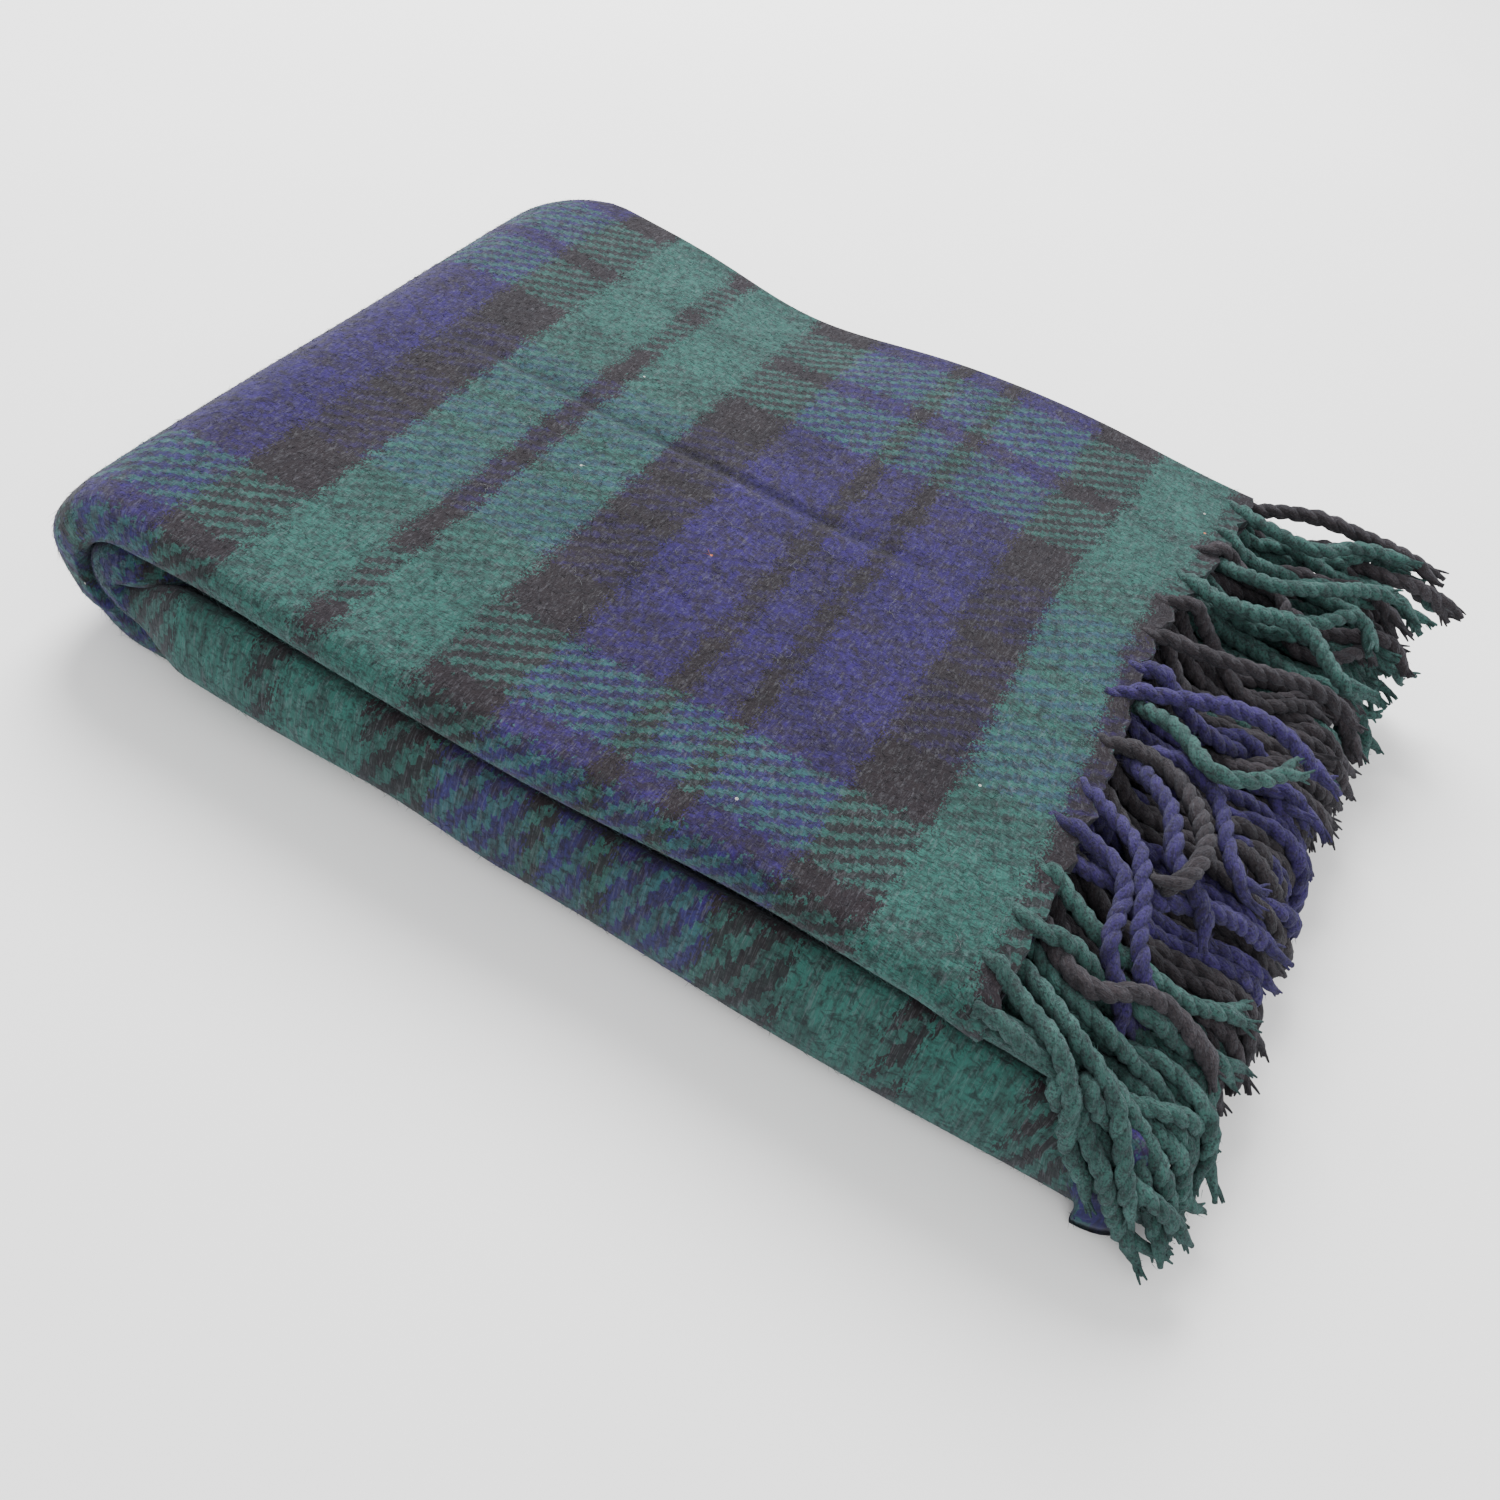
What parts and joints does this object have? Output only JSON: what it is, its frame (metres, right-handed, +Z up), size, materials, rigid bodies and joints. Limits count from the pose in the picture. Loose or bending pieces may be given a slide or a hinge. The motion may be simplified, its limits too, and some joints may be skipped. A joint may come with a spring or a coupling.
{
  "type": "folded throw blanket",
  "caption": "Napped tartan throw blanket folded into a flat oblong pack, with a twisted wool fringe along one end.",
  "frame": {"origin": "centre of the pack's footprint, fringe included, on the surface it lies on", "axes": "+X along the pack's length towards the fringed end, -Y the long side with the rounded folds, +Z up"},
  "size_m": [0.5669, 0.375, 0.085],
  "materials": {
    "tartan_cloth": "brushed wool-blend twill, matt and napped",
    "fringe_yarn": "twisted two-strand wool cords, matt and fuzzy"
  },
  "bodies": {
    "lower_half": {"ply_3": "tartan_cloth", "ply_4": "tartan_cloth", "outer_fold": "tartan_cloth", "inner_fold": "tartan_cloth", "right_fold": "tartan_cloth"},
    "upper_half": {"ply_1": "tartan_cloth", "ply_2": "tartan_cloth", "second_fringe_1": "fringe_yarn", "second_fringe_2": "fringe_yarn", "second_fringe_3": "fringe_yarn", "second_fringe_4": "fringe_yarn"},
    "top_fringe_1": {"top_fringe_1": "fringe_yarn"},
    "top_fringe_2": {"top_fringe_2": "fringe_yarn"},
    "top_fringe_3": {"top_fringe_3": "fringe_yarn"},
    "top_fringe_4": {"top_fringe_4": "fringe_yarn"},
    "top_fringe_5": {"top_fringe_5": "fringe_yarn"},
    "top_fringe_6": {"top_fringe_6": "fringe_yarn"}
  },
  "joints": [
    {"name": "unfold", "type": "hinge", "parent": "lower_half", "child": "upper_half", "pos_m": [-0.26125, 0, 0.0425], "axis": [0, -1, 0], "range_deg": [0, 180], "deforming": ["outer_fold", "inner_fold"]},
    {"name": "top_fringe_1_swing", "type": "hinge", "parent": "upper_half", "child": "top_fringe_1", "pos_m": [0.17068, 0, 0.08518], "axis": [0, -1, 0], "range_deg": [0, 150]},
    {"name": "top_fringe_2_swing", "type": "hinge", "parent": "upper_half", "child": "top_fringe_2", "pos_m": [0.17068, 0, 0.08518], "axis": [0, -1, 0], "range_deg": [0, 150]},
    {"name": "top_fringe_3_swing", "type": "hinge", "parent": "upper_half", "child": "top_fringe_3", "pos_m": [0.17068, 0, 0.08518], "axis": [0, -1, 0], "range_deg": [0, 150]},
    {"name": "top_fringe_4_swing", "type": "hinge", "parent": "upper_half", "child": "top_fringe_4", "pos_m": [0.17068, 0, 0.08518], "axis": [0, -1, 0], "range_deg": [0, 150]},
    {"name": "top_fringe_5_swing", "type": "hinge", "parent": "upper_half", "child": "top_fringe_5", "pos_m": [0.17068, 0, 0.08518], "axis": [0, -1, 0], "range_deg": [0, 150]},
    {"name": "top_fringe_6_swing", "type": "hinge", "parent": "upper_half", "child": "top_fringe_6", "pos_m": [0.17068, 0, 0.08518], "axis": [0, -1, 0], "range_deg": [0, 150]}
  ]
}
